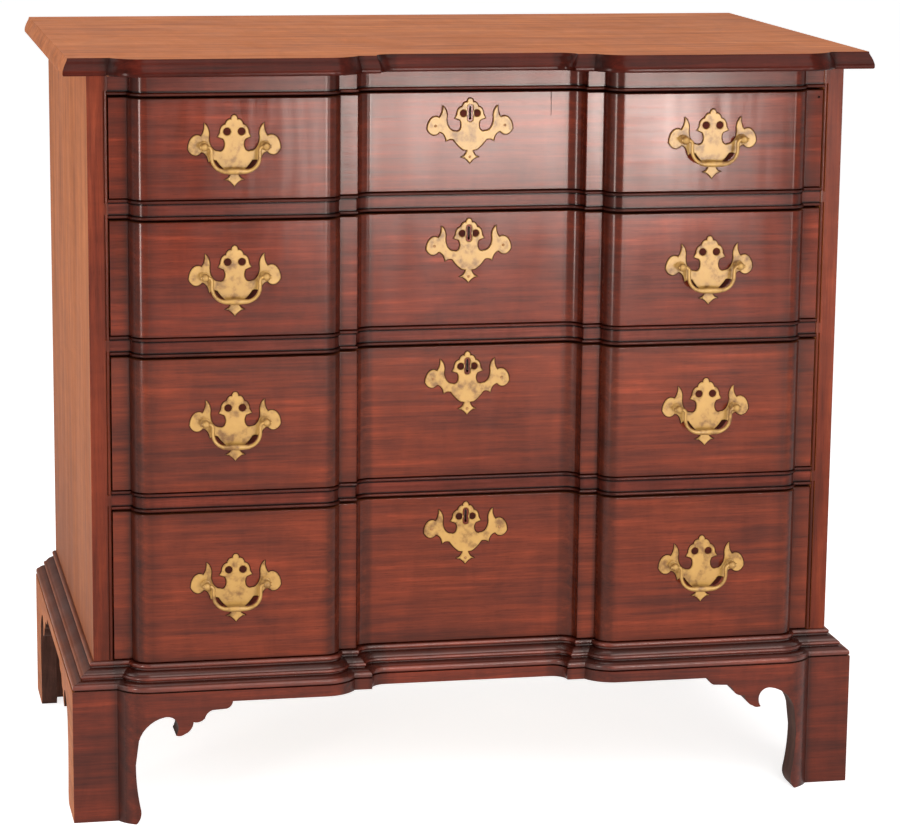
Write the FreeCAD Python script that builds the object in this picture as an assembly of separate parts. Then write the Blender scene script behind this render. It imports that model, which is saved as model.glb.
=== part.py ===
import FreeCAD, Part
import math
import os

V = FreeCAD.Vector

# ---------------------------------------------------------------- driving sizes, mm
# Case. The front plane is the face of the narrow strips beside the blocking.
case_width = 810.5
case_depth = 491.0
side_thickness = 21.0
back_thickness = 12.0
back_board_count = 3
back_lap = 8.0
back_rabbet = 10.0
bottom_thickness = 18.0
housing_depth = 8.0  # how far rails, blades and runners are let into the sides
housing_set_back = 15.0  # the housings stop this far behind the front plane
blade_depth = 70.0

# Heights, from the floor up.
foot_height = 144.4  # floor to the underside of the base moulding
moulding_height = 28.0
opening_4 = 163.8  # height of the lowest drawer's opening
opening_3 = 145.0
opening_2 = 123.5
opening_1 = 107.6  # the highest
blade_thickness = 20.2
top_rail_height = 22.1
top_thickness = 18.0

# Blocking, seen in plan, from the middle of the front to its ends.
recess_half_width = 120.5
fillet_width = 20.5
corner_strip_width = 21.2
block_proud = 19.5  # also the radius of the rolled ends of the blocks
recess_depth = 16.5
recess_cove = 12.0  # radius in the corners of the recess
smallest_cove = 4.0

# Round stretches are cut into chords.
roll_chords = 4
bead_chords = 2
chord_turn = 0.95  # greatest turn of a chord, radians, in pierced and sawn outlines

# Beads on the blades and the top rail.
bead_radius = 1.8

# Top board edge: height above its underside as a share of the thickness, and set-back from the nose.
top_front_overhang = 25.5
top_side_overhang = 26.0
top_rear_overhang = 16.0
nose_ease = 1.5
thumb_start = 2.7
thumb_middle = 4.6
thumb_end = 5.3
top_edge = (
    (0.0, nose_ease), (0.08, 0.0), (0.44, 0.0), (0.6, thumb_start), (0.8, thumb_middle), (1.0, thumb_end),
)

# Base moulding: depth below its top and how far it stands out, as shares of height and reach.
base_front_reach = 19.0
base_side_reach = 24.5
base_profile = (
    (0.0, 0.1), (0.19, 0.16), (0.25, 0.12), (0.45, 0.56),
    (0.6, 0.58), (0.76, 0.95), (0.93, 0.95), (1.0, 0.87),
)
base_board_depth = 45.0  # depth of the front moulding board behind the front plane

# Bracket feet.
fascia_drop = 11.8  # height of the plain strip under the moulding
fascia_back = 16.0  # the front fascia reaches this far behind the front plane
bracket_face_back = -5.0  # back of the front bracket boards, from the front plane
side_bracket_thickness = 18.0
foot_width = 64.8  # at its narrowest
ankle_height = 66.0  # of that narrowest place
toe_flare = 5.0
toe_height = 16.0
knee_flare = 1.2  # half way between ankle and toe
sole_flare = 4.5  # half way between toe and floor
wing_reach = 103.4  # from the narrowest place to the tip of the wing
wing_drop = 35.8  # from the fascia down to the lowest lobe
foot_post = 32.0
foot_post_lift = 3.0
batten_width = 40.0
rear_foot_width = 62.0
rear_bracket_length = 120.0
rear_bracket_rise = 60.0  # height at which the rear bracket starts to slope inwards

# Drawers.
gap_side = 1.3
gap_top = 2.5
gap_foot = 0.9
running_gap = 0.3
front_thickness = 20.0  # at the recess, its thinnest place
front_set_back = 0.6
front_lip = 11.0  # wood left in front of the half-blind dovetails
board_thickness = 12.0
side_drop = 6.0  # the sides stand this much lower than the front
back_drop = 8.0
bottom_panel = 8.0
bottom_rise = 8.0  # from the lower edge of the sides to the panel
groove_depth = 6.0
drawer_rear_gap = 15.0
tail_pitch = 50.0
tail_share = 0.62  # width of a tail's narrow end over its pitch
tail_slope = 0.16
scoop_depth = 16.0  # hollow behind each convex block
scoop_radius = 14.0
scoop_floor = 22.0  # wood left below each hollow

# Drawer stops.
stop_width = 30.0
stop_depth = 12.0
stop_height = 5.0

# Runners.
runner_width = 22.0

# Brasses.
plate_width = 97.5
plate_height = 74.0
plate_thickness = 1.6
escutcheon_width = 93.5
escutcheon_height = 69.0
escutcheon_drop = 8.7  # from the top of the opening to the tip of the finial
keyhole_width = 6.2
keyhole_height = 18.5
keyhole_drop = 6.5
pull_offset = 3.5  # from the middle of a block outwards
pull_rise = 2.8  # posts above the middle of the drawer
post_spacing = 64.0
cast_sides = 6  # sides of the small brass castings
post_stand = 9.5  # from the plate to the bail's axis
post_collar_radius = 5.2
post_collar = 1.8
post_neck_radius = 2.6
post_head_radius = 5.0
post_head_flat = 3.2  # half depth of the head's flats
post_shank_radius = 2.4
post_tail = 8.0  # shank standing out inside the drawer
hole_clearance = 0.2
bail_drop = 25.5
bail_radius = 1.9
bail_clearance = 0.15
bail_half_width = 25.0
bail_corner = 15.0

# Locks.
lock_plate_width = 58.0
lock_plate_height = 36.0
lock_plate_thickness = 2.0
lock_case_width = 42.0
lock_case_height = 28.0
lock_case_depth = 9.0
lock_selvage = 2.0
bolt_width = 20.0
bolt_thickness = 4.5
bolt_height = 16.0
bolt_throw = 8.0
bolt_clearance = 0.4
cut_margin = 1.0  # how far cutting solids run past what they cut

# ---------------------------------------------------------------- derived levels
case_half = case_width / 2
opening_half = case_half - side_thickness
block_inner = recess_half_width + fillet_width
block_outer = opening_half - corner_strip_width
block_middle = (block_inner + block_outer) / 2
base_top = foot_height + moulding_height
blade_levels = []
opening_floors = []
level = base_top
drawer_openings = (opening_4, opening_3, opening_2, opening_1)
for opening in drawer_openings:
    opening_floors.append(level)
    level += opening
    blade_levels.append(level)
    level += blade_thickness
top_rail_bottom = blade_levels.pop()
case_top = top_rail_bottom + top_rail_height
total_height = case_top + top_thickness
inner_back = case_depth - back_thickness
front_back = recess_depth + front_thickness
top_front_reach = block_proud + top_front_overhang
top_rear = case_depth + top_rear_overhang
wing_length = foot_width + wing_reach
# The origin is under the middle of the outline, so the model is moved back by this much.
front_plane = (top_front_reach - top_rear) / 2

os.makedirs("parts", exist_ok=True)


# ---------------------------------------------------------------- helpers
def box(x0, x1, y0, y1, z0, z1):
    """Box between two corners, in any order."""
    low = V(min(x0, x1), min(y0, y1), min(z0, z1))
    return Part.makeBox(abs(x1 - x0), abs(y1 - y0), abs(z1 - z0), low)


def mirrored(shape):
    """Copy of a shape on the other side of the middle plane."""
    return shape.mirror(V(0, 0, 0), V(1, 0, 0))


def arc_points(start, middle, end, chords):
    """Points after the start on the round arc through three points."""
    return Part.Arc(start, middle, end).toShape().discretize(chords + 1)[1:]


def run_points(points):
    """Points after the first along a run: straight through two points, arcs through every further two."""
    if len(points) == 2:
        return points[1:]
    found = []
    for index in range(0, len(points) - 2, 2):
        arc = Part.Arc(points[index], points[index + 1], points[index + 2]).toShape()
        chords = math.ceil(arc.Length / arc.Curve.Radius / chord_turn)
        found += arc_points(points[index], points[index + 1], points[index + 2], chords)
    return found


def closed_polygon(points):
    """Closed wire through points."""
    return Part.makePolygon(points + points[:1])


def write(name, shapes):
    """Move the solids into the part's frame and write them as one node."""
    solids = [solid for shape in shapes for solid in shape.Solids]
    node = Part.makeCompound([solid.copy() for solid in solids])
    node.translate(V(0, front_plane, 0))
    node.exportStep("parts/" + name + ".step")


# ---------------------------------------------------------------- the blocked outline
def half_outline(offset):
    """Right half of the blocked front line, moved outwards by offset, as points from the middle outwards."""
    cove = max(recess_cove - offset, smallest_cove)
    wall = recess_half_width - offset
    floor = recess_depth - offset
    turn = cove * (1 - math.cos(math.pi / 4))
    points = [V(wall - cove, floor, 0)]
    middle = V(wall - turn, floor - turn, 0)
    points += arc_points(points[0], middle, V(wall, floor - cove, 0), roll_chords)
    points.append(V(wall, -offset, 0))
    # The rolled ends start where the shifted front plane meets their circles.
    radius = block_proud + offset
    start = math.asin(offset / radius)
    half_way = (start + math.pi / 2) / 2
    reach = radius * math.cos(start)
    rise = V(radius * math.cos(half_way), radius * math.sin(half_way), 0)
    inner = V(block_inner + block_proud, 0, 0)
    outer = V(block_outer - block_proud, 0, 0)
    front = V(0, -radius, 0)
    points.append(inner + V(-reach, -offset, 0))
    points += arc_points(points[-1], inner - rise, inner + front, roll_chords)
    points.append(outer + front)
    end = outer + V(reach, -offset, 0)
    points += arc_points(points[-1], outer + V(rise.x, -rise.y, 0), end, roll_chords)
    return points


def outline_points(offset, ends):
    """Closed outline: the blocked front line, then the end points (right half), both mirrored to the left."""
    right = half_outline(offset) + [V(x, y, 0) for x, y in ends]
    return right + [V(-point.x, point.y, 0) for point in right[::-1]]


def blocked_prism(offset, ends, z0, z1):
    """Upright solid on a blocked outline."""
    face = Part.Face(closed_polygon(outline_points(offset, ends)))
    face.translate(V(0, 0, z0))
    return face.extrude(V(0, 0, z1 - z0))


def blocked_loft(levels, ends_of):
    """Moulded solid through blocked outlines; levels are (z, share of the moulding or set-back, offset)."""
    wires = []
    for z, key, offset in levels:
        wire = closed_polygon(outline_points(offset, ends_of(key)))
        wire.translate(V(0, 0, z))
        wires.append(wire)
    return Part.makeLoft(wires, True, True)


def bead_levels(start, rise):
    """Half-round bead at an edge, from its outer end; rise is +1 upwards or -1 downwards."""
    levels = []
    for step in range(bead_chords + 1):
        angle = math.pi * step / bead_chords
        z = start + rise * bead_radius * (1 - math.cos(angle))
        offset = bead_radius * (math.sin(angle) - 1)
        levels.append((z, offset, offset))
    return levels


# ---------------------------------------------------------------- case
def make_top_board():
    """Top with a moulded edge that follows the blocking; its rear edge is square."""

    def ends(set_back):
        side = case_half + top_side_overhang - set_back
        return [(side, set_back - top_front_overhang), (side, top_rear)]

    levels = []
    for share, set_back in top_edge:
        levels.append((case_top + share * top_thickness, set_back, top_front_overhang - set_back))
    write("top_board", [blocked_loft(levels, ends)])


def housings():
    """What the left and right ends of blades, runners, kickers and rails take out of the right side."""
    inner = opening_half
    outer = opening_half + housing_depth
    cuts = []
    for z in blade_levels:
        cuts.append(box(inner, outer, housing_set_back, inner_back, z, z + blade_thickness))
    cuts.append(box(inner, outer, housing_set_back, inner_back, top_rail_bottom, case_top))
    cuts.append(box(inner, outer, base_board_depth, inner_back, base_top - bottom_thickness, base_top))
    cuts.append(
        box(inner, opening_half + back_rabbet, inner_back, case_depth, base_top - bottom_thickness, case_top)
    )
    return cuts


def make_sides():
    """Side boards; the front edge is the stile, beaded along the openings."""
    board = box(opening_half, case_half, 0, case_depth, foot_height, case_top)
    bead = 2 * bead_radius
    quirk = box(
        opening_half + bead, opening_half + bead + bead_radius / 2, -cut_margin, bead_radius,
        base_top, case_top,
    )
    board = board.cut(Part.makeCompound(housings()))
    board = board.cut(quirk)
    write("side_right", [board])
    write("side_left", [mirrored(board)])


def make_back_boards():
    """Horizontal boards lapped over each other and let into rabbets in the sides."""
    bottom = base_top - bottom_thickness
    pitch = (case_top - bottom) / back_board_count
    half = opening_half + back_rabbet
    middle = inner_back + back_thickness / 2
    boards = []
    for index in range(back_board_count):
        low = bottom + index * pitch
        high = low + pitch
        board = box(-half, half, inner_back, case_depth, low, high)
        if index > 0:
            board = board.cut(box(-half, half, middle, case_depth, low, low + back_lap))
        if index < back_board_count - 1:
            tongue = box(-half, half, middle, case_depth, high, high + back_lap)
            board = board.fuse(tongue).removeSplitter()
        boards.append(board)
    write("back_boards", boards)


def make_bottom_board():
    """Case bottom, housed in the sides, behind the front moulding board."""
    half = opening_half + housing_depth
    board = box(-half, half, base_board_depth, inner_back, base_top - bottom_thickness, base_top)
    write("bottom_board", [board])


def bolt_mortise(low):
    """Pocket for a lock bolt in the underside of a blade whose lower face is at low."""
    half = bolt_width / 2 + bolt_clearance
    middle = bolt_middle()
    reach = bolt_thickness / 2 + bolt_clearance
    high = low + bolt_throw + bolt_clearance
    return box(-half, half, middle - reach, middle + reach, low - cut_margin, high)


def make_blade(name, low, high, levels):
    """Blocked, beaded front member with its ends housed in the sides."""
    blade = blocked_loft(levels, lambda offset: [(opening_half, -offset), (opening_half, blade_depth)])
    outer = opening_half + housing_depth
    for sign in (-1, 1):
        tongue = box(sign * opening_half, sign * outer, housing_set_back, blade_depth, low, high)
        blade = blade.fuse(tongue)
    write(name, [blade.removeSplitter().cut(bolt_mortise(low))])


def make_blades():
    """Three drawer blades, beaded at both edges, and the top rails, the front one beaded below."""
    for index, low in enumerate(blade_levels):
        high = low + blade_thickness
        levels = bead_levels(low, 1) + bead_levels(high, -1)[::-1]
        make_blade("drawer_blade_" + str(len(blade_levels) - index), low, high, levels)
    levels = bead_levels(top_rail_bottom, 1) + [(case_top, -bead_radius, -bead_radius)]
    make_blade("top_front_rail", top_rail_bottom, case_top, levels)
    half = opening_half + housing_depth
    rail = box(-half, half, inner_back - blade_depth, inner_back, top_rail_bottom, case_top)
    write("top_back_rail", [rail])


def make_runners():
    """Runners behind the blades, and kickers between the top rails."""
    runners = []
    outer = opening_half + housing_depth
    inner = opening_half - runner_width
    for z in blade_levels:
        runners.append(box(inner, outer, blade_depth, inner_back, z, z + blade_thickness))
    runners.append(box(inner, outer, blade_depth, inner_back - blade_depth, top_rail_bottom, case_top))
    write("drawer_runners", runners + [mirrored(runner) for runner in runners])


def make_stops():
    """Two blocks behind each front, glued to the blade or the bottom below."""
    stops = []
    y0 = front_back + running_gap
    for z in opening_floors:
        for sign in (-1, 1):
            x = sign * block_middle
            stops.append(
                box(x - stop_width / 2, x + stop_width / 2, y0, y0 + stop_depth, z, z + stop_height)
            )
    write("drawer_stops", stops)


# ---------------------------------------------------------------- base
def base_corner(share):
    """Right front corner of the base where it stands out by a share of its reach."""
    return (case_half + share * base_side_reach, -share * base_front_reach)


def make_base_moulding():
    """Front length, a thick board notched round the side boards, and two mitred side lengths."""

    def ends(share):
        return [base_corner(share), (case_half, 0), (opening_half, 0), (opening_half, base_board_depth)]

    front = []
    side = []
    for depth, share in base_profile[::-1]:
        z = base_top - depth * moulding_height
        corner = base_corner(share)
        front.append((z, share, share * base_front_reach))
        points = [(case_half, 0), corner, (corner[0], case_depth), (case_half, case_depth)]
        side.append(closed_polygon([V(x, y, z) for x, y in points]))
    write("base_moulding_front", [blocked_loft(front, ends)])
    right = Part.makeLoft(side, True, True)
    write("base_moulding_sides", [right, mirrored(right)])


# Lower edge of a bracket's wing: distance from the ankle in shares of the reach, and drop below the
# fascia in shares of the wing's drop. Runs of two points are straight and longer ones are arcs.
wing_runs = (
    ((1.0, 0.0), (0.98, 0.14), (0.937, 0.223)),
    ((0.937, 0.223), (0.797, 0.246)),
    ((0.797, 0.246), (0.739, 0.335), (0.71, 0.49)),
    ((0.71, 0.49), (0.667, 0.58), (0.592, 0.592)),
    ((0.592, 0.592), (0.539, 0.891), (0.427, 1.0), (0.366, 0.8), (0.392, 0.48)),
    ((0.392, 0.48), (0.356, 0.43), (0.3, 0.4), (0.141, 0.615), (0.032, 1.12)),
)


def bracket_face(point):
    """Face of a bracket with its wing and foot; point(s, z) places a point s from the foot's corner."""
    line = foot_height - fascia_drop

    def wing_point(share):
        return point(foot_width + share[0] * wing_reach, line - share[1] * wing_drop)

    points = [point(0, 0), point(0, foot_height), point(wing_length, foot_height), wing_point((1.0, 0.0))]
    for run in wing_runs:
        points += run_points([wing_point(share) for share in run])
    ankle = point(foot_width, ankle_height)
    knee = point(foot_width + knee_flare, (ankle_height + toe_height) / 2)
    toe = point(foot_width + toe_flare, toe_height)
    sole = point(foot_width + sole_flare, toe_height / 2)
    points.append(ankle)
    points += run_points([ankle, knee, toe, sole, point(foot_width, 0)])
    return Part.Face(closed_polygon(points))


def make_front_feet():
    """Blocked front bracket boards: the blocked outline cut to the bracket's elevation."""
    corner = base_corner(1)
    front = -block_proud - base_front_reach - cut_margin
    elevation = bracket_face(lambda s, z: V(corner[0] - s, front, z))
    elevation = elevation.extrude(V(0, bracket_face_back - front, 0))
    mitre = bracket_face_back - corner[1]
    ends = [corner, (corner[0] - mitre, bracket_face_back), (opening_half, recess_depth)]
    board = elevation.common(blocked_prism(base_front_reach, ends, 0, foot_height))
    write("foot_front_right", [board])
    write("foot_front_left", [mirrored(board)])


def make_side_feet():
    """Side bracket boards; the front ones meet the front boards in a mitre."""
    corner = base_corner(1)
    inner = corner[0] - side_bracket_thickness
    depth = V(side_bracket_thickness, 0, 0)
    front = bracket_face(lambda s, z: V(inner, corner[1] + s, z)).extrude(depth)
    waste = closed_polygon(
        [V(corner[0], corner[1], 0), V(inner, corner[1], 0), V(inner, corner[1] + side_bracket_thickness, 0)]
    )
    front = front.cut(Part.Face(waste).extrude(V(0, 0, foot_height)))
    rear = bracket_face(lambda s, z: V(inner, case_depth - s, z)).extrude(depth)
    brackets = [front, rear]
    write("foot_side_brackets", brackets + [mirrored(bracket) for bracket in brackets])


def make_back_feet():
    """Plain rear bracket boards between the side brackets, sloped on their inner edge."""
    outer = base_corner(1)[0] - side_bracket_thickness
    outline = (
        (outer, 0),
        (outer, foot_height),
        (outer - rear_bracket_length, foot_height),
        (outer - rear_bracket_length, foot_height - fascia_drop),
        (outer - rear_foot_width, rear_bracket_rise),
        (outer - rear_foot_width, 0),
    )
    face = Part.Face(closed_polygon([V(x, case_depth, z) for x, z in outline]))
    board = face.extrude(V(0, -side_bracket_thickness, 0))
    write("foot_back_brackets", [board, mirrored(board)])


def make_fascia():
    """Plain strips between the wings, at the front and at both sides."""
    low = foot_height - fascia_drop
    corner = base_corner(1)
    strip = blocked_prism(base_front_reach, [corner, (corner[0], fascia_back)], low, foot_height)
    end = corner[0] - wing_length
    strip = strip.common(box(-end, end, -case_depth, case_depth, low, foot_height))
    side = box(
        corner[0] - side_bracket_thickness, corner[0],
        corner[1] + wing_length, case_depth - wing_length,
        low, foot_height,
    )
    write("base_fascia", [strip, side, mirrored(side)])


def make_foot_blocks():
    """Post in each foot and battens under the case bottom."""
    inner = base_corner(1)[0] - side_bracket_thickness
    rear = case_depth - side_bracket_thickness
    blocks = []
    for start in (bracket_face_back, rear - foot_post):
        blocks.append(
            box(inner - foot_post, inner, start, start + foot_post, foot_post_lift, foot_height)
        )
    under = base_top - bottom_thickness
    blocks.append(
        box(opening_half - batten_width, opening_half, base_board_depth, case_depth, foot_height, under)
    )
    across = box(
        batten_width - opening_half, opening_half - batten_width,
        case_depth - batten_width, case_depth, foot_height, under,
    )
    write("base_blocks", blocks + [mirrored(block) for block in blocks] + [across])


# ---------------------------------------------------------------- drawers
def tails(height, face_x, y0, y1, z0):
    """Dovetails on a side board's end: wide at y1, narrow at y0."""
    count = max(2, round(height / tail_pitch))
    pitch = height / count
    narrow = pitch * tail_share / 2  # half widths
    wide = narrow + abs(y1 - y0) * tail_slope
    shapes = []
    for index in range(count):
        z = z0 + pitch * (index + 0.5)
        points = [
            V(face_x, y0, z - narrow), V(face_x, y1, z - wide),
            V(face_x, y1, z + wide), V(face_x, y0, z + narrow),
        ]
        shapes.append(Part.Face(closed_polygon(points)).extrude(V(-board_thickness, 0, 0)))
    return shapes


def bolt_middle():
    """Depth of the lock bolt's middle plane behind the front plane."""
    return front_back - lock_plate_thickness - lock_case_depth / 2


def scoop(z0, z1):
    """Hollow behind one convex block, open at the top, with round ends."""
    radius = scoop_radius
    deep = front_back - scoop_depth
    back = front_back + cut_margin
    turn = radius * (1 - math.cos(math.pi / 4))
    points = []
    for end, inwards in ((block_inner + block_proud, 1), (block_outer - block_proud, -1)):
        wall = V(end, deep + radius, z0)
        middle = V(end + inwards * turn, deep + turn, z0)
        floor = V(end + inwards * radius, deep, z0)
        side = [V(end, back, z0), wall] + run_points([wall, middle, floor])
        points += side[::inwards]
    return Part.Face(closed_polygon(points)).extrude(V(0, 0, z1 - z0))


def cast_section(centre, along, across, radius):
    """Closed polygon round a centre, in the plane of two unit vectors, with a flat towards along."""
    points = []
    for index in range(cast_sides):
        angle = 2 * math.pi * (index + 0.5) / cast_sides
        points.append(centre + along * (radius * math.cos(angle)) + across * (radius * math.sin(angle)))
    return closed_polygon(points)


def cast_bar(radius, x, z, y0, y1):
    """Straight bar along Y with the section of the castings."""
    return Part.Face(cast_section(V(x, y0, z), V(1, 0, 0), V(0, 0, 1), radius)).extrude(V(0, y1 - y0, 0))


def keyhole(tip, y0, y1):
    """Round-ended slot below the tip of an escutcheon."""
    radius = keyhole_width / 2
    high = tip - keyhole_drop - radius
    low = tip - keyhole_drop - keyhole_height + radius
    points = [V(-radius, y0, low), V(-radius, y0, high)]
    points += run_points([points[-1], V(0, y0, high + radius), V(radius, y0, high)])
    points.append(V(radius, y0, low))
    points += run_points([points[-1], V(0, y0, low - radius), points[0]])[:-1]
    return Part.Face(closed_polygon(points)).extrude(V(0, y1 - y0, 0))


def lock_solids(top):
    """Lock plate, case and selvage; top is the upper edge of the drawer front."""
    back = front_back
    half = lock_plate_width / 2
    plate = box(-half, half, back - lock_plate_thickness, back, top - lock_plate_height, top)
    half = lock_case_width / 2
    front = back - lock_plate_thickness - lock_case_depth
    case = box(-half, half, front, back, top - lock_case_height, top)
    half = lock_plate_width / 2
    selvage = box(-half, half, front, back, top - lock_selvage, top)
    return [plate, case, selvage]


def bolt_box(top, gap):
    """Lock bolt, drawn back, grown by gap all round."""
    half = bolt_width / 2 + gap
    middle = bolt_middle()
    reach = bolt_thickness / 2 + gap
    return box(-half, half, middle - reach, middle + reach, top - bolt_height - gap, top + gap)


def make_lock(number, top):
    """Lock with a channel for its bolt, and the bolt."""
    pieces = lock_solids(top)
    lock = pieces[0].fuse(pieces[1:]).removeSplitter()
    lock = lock.cut(bolt_box(top, bolt_clearance / 2))
    write("lock_" + number, [lock])
    write("lock_bolt_" + number, [bolt_box(top, 0)])


def make_front(number, low, high, panel, front_tails, tip, post_z):
    """Drawer front from one plank, with sockets, groove, hollows, keyhole, lock mortise and post holes."""
    half = opening_half - gap_side
    front = blocked_prism(-front_set_back, [(half, front_set_back), (half, front_back)], low, high)
    hollow = scoop(low + scoop_floor, high + cut_margin)
    cuts = front_tails + [panel, hollow, keyhole(tip, -case_depth, case_depth)] + lock_solids(high)
    for end in (-1, 1):
        x = block_middle + pull_offset + end * post_spacing / 2
        cuts.append(cast_bar(post_shank_radius + hole_clearance, x, post_z, -case_depth, case_depth))
    for cut in cuts:
        front = front.cut(cut).cut(mirrored(cut))
    write("drawer_" + number + "_front", [front])


def make_drawer(number, floor, opening):
    """One drawer: front, sides, back, bottom, brasses and lock."""
    high = floor + opening - gap_top
    half = opening_half - gap_side
    inner = half - board_thickness
    side_low = floor + running_gap
    side_high = high - side_drop
    rear = inner_back - drawer_rear_gap
    panel_low = side_low + bottom_rise
    panel_high = panel_low + bottom_panel
    front_tails = tails(side_high - side_low, half, front_back, front_lip, side_low)
    rear_tails = tails(side_high - side_low, half, rear - board_thickness, rear, side_low)
    panel = box(
        -inner - groove_depth, inner + groove_depth, front_back - groove_depth, rear, panel_low, panel_high
    )
    side = box(inner, half, front_back, rear - board_thickness, side_low, side_high)
    side = side.fuse(front_tails + rear_tails).removeSplitter().cut(panel)
    back = box(-half, half, rear - board_thickness, rear, panel_high, side_high - back_drop)
    for tail in rear_tails:
        back = back.cut(tail).cut(mirrored(tail))
    tip = floor + opening - escutcheon_drop
    post_z = floor + opening / 2 + pull_rise
    make_front(number, floor + gap_foot, high, panel, front_tails, tip, post_z)
    write("drawer_" + number + "_sides", [side, mirrored(side)])
    write("drawer_" + number + "_back", [back])
    write("drawer_" + number + "_bottom", [panel])
    make_lock(number, high)
    make_brasses(number, tip, post_z)


# ---------------------------------------------------------------- brasses
# Right half of the plate's outline, as runs in shares of the half width and of the height, measured from
# the middle of the line of the posts. Runs of two points are straight and longer ones are arcs.
plate_runs = (
    ((0.0, 0.43), (0.05, 0.415), (0.07, 0.37)),
    ((0.07, 0.37), (0.15, 0.355), (0.19, 0.30)),
    ((0.19, 0.30), (0.28, 0.26), (0.31, 0.18)),
    ((0.31, 0.18), (0.36, 0.125)),
    ((0.36, 0.125), (0.24, 0.095)),
    ((0.24, 0.095), (0.24, -0.02), (0.36, -0.065), (0.49, 0.0), (0.53, 0.17)),
    ((0.53, 0.17), (0.56, 0.255), (0.64, 0.32)),
    ((0.64, 0.32), (0.65, 0.22), (0.71, 0.14)),
    ((0.71, 0.14), (0.93, 0.1), (0.99, -0.04), (0.89, -0.12), (0.7, -0.085)),
    ((0.7, -0.085), (0.6, -0.13), (0.55, -0.23)),
    ((0.55, -0.23), (0.47, -0.2), (0.38, -0.205)),
    ((0.38, -0.205), (0.28, -0.29), (0.16, -0.36)),
    ((0.16, -0.36), (0.07, -0.37)),
    ((0.07, -0.37), (0.11, -0.43), (0.22, -0.47)),
    ((0.22, -0.47), (0.09, -0.505), (0.0, -0.57)),
)
plate_tip = plate_runs[0][0][1]
eye_place = (0.155, 0.20)
eye_radius = 0.048  # share of the width


def plate_solid(width, height, x, z, back):
    """Pierced bat-wing plate about the middle of its post line; back is its rear face."""

    def point(share, sign):
        return V(x + sign * share[0] * width / 2, back, z + share[1] * height)

    right = []
    for run in plate_runs:
        right += run_points([point(share, 1) for share in run])
    left = [V(2 * x - spot.x, spot.y, spot.z) for spot in right[-2::-1]]
    plate = Part.Face(closed_polygon(right + left + [point(plate_runs[0][0], 1)]))
    plate = plate.extrude(V(0, -plate_thickness, 0))
    for sign in (-1, 1):
        eye = point(eye_place, sign)
        plate = plate.cut(cast_bar(eye_radius * width, eye.x, eye.z, back - 2 * plate_thickness, back))
    return plate


def post(x, z, face):
    """Cast post: shank through the drawer front, collar on the plate's face, neck and pierced head."""
    axis = face - post_stand
    end = front_back - scoop_depth + post_tail
    pieces = [
        cast_bar(post_collar_radius, x, z, face - post_collar, face),
        cast_bar(post_neck_radius, x, z, axis + post_head_flat, face - post_collar),
        cast_bar(post_head_radius, x, z, axis - post_head_flat, axis + post_head_flat),
    ]
    shank = cast_bar(post_shank_radius, x, z, face, end)
    radius = (bail_radius + bail_clearance) / math.cos(math.pi / cast_sides)
    hole = cast_section(V(x - post_head_radius, axis, z), V(0, 0, 1), V(0, 1, 0), radius)
    hole = Part.Face(hole).extrude(V(2 * post_head_radius, 0, 0))
    return shank.fuse(pieces).removeSplitter().cut(hole)


def bail(x, z, axis):
    """Drop handle: one bar bent to a bow, its ends turned outwards into the posts."""
    half = bail_half_width
    low = z - bail_drop
    turn = bail_corner * (1 - math.cos(math.pi / 4))
    reach = post_spacing / 2 + post_head_radius
    right = [V(x + reach, axis, z), V(x + half, axis, z), V(x + half, axis, low + bail_corner)]
    middle = V(x + half - turn, axis, low + turn)
    right += arc_points(right[-1], middle, V(x + half - bail_corner, axis, low), roll_chords)
    path = Part.makePolygon(right + [V(2 * x - spot.x, axis, spot.z) for spot in right[::-1]])
    section = cast_section(right[0], V(0, 0, 1), V(0, 1, 0), bail_radius)
    return path.makePipeShell([section], True, False, 1)


def make_brasses(number, tip, post_z):
    """Two pull plates and the escutcheon, four posts, and two bails in nodes of their own."""
    block_face = -block_proud + front_set_back
    recess_face = recess_depth + front_set_back
    face = block_face - plate_thickness
    line = tip - plate_tip * escutcheon_height
    escutcheon = plate_solid(escutcheon_width, escutcheon_height, 0, line, recess_face)
    plates = [escutcheon.cut(keyhole(tip, -case_depth, case_depth))]
    posts = []
    for side, sign in (("left", -1), ("right", 1)):
        x = sign * (block_middle + pull_offset)
        plate = plate_solid(plate_width, plate_height, x, post_z, block_face)
        for end in (-1, 1):
            post_x = x + end * post_spacing / 2
            plate = plate.cut(
                cast_bar(post_shank_radius + hole_clearance, post_x, post_z, face - cut_margin, block_face)
            )
            posts.append(post(post_x, post_z, face))
        plates.append(plate)
        write("bail_" + number + "_" + side, [bail(x, post_z, face - post_stand)])
    write("brass_plates_" + number, plates)
    write("pull_posts_" + number, posts)


# ---------------------------------------------------------------- build
make_top_board()
make_sides()
make_back_boards()
make_bottom_board()
make_blades()
make_runners()
make_stops()
make_base_moulding()
make_front_feet()
make_side_feet()
make_back_feet()
make_fascia()
make_foot_blocks()
for index, opening_height in enumerate(drawer_openings):
    drawer_number = str(len(drawer_openings) - index)
    make_drawer(drawer_number, opening_floors[index], opening_height)
print("front plane at", round(front_plane, 3), "height", round(total_height, 2))
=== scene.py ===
"""Dressed model of a block-front chest of four drawers: polished mahogany, cast brasses, studio light."""

import math

import bmesh
import bpy
from mathutils import Matrix, Vector


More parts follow.
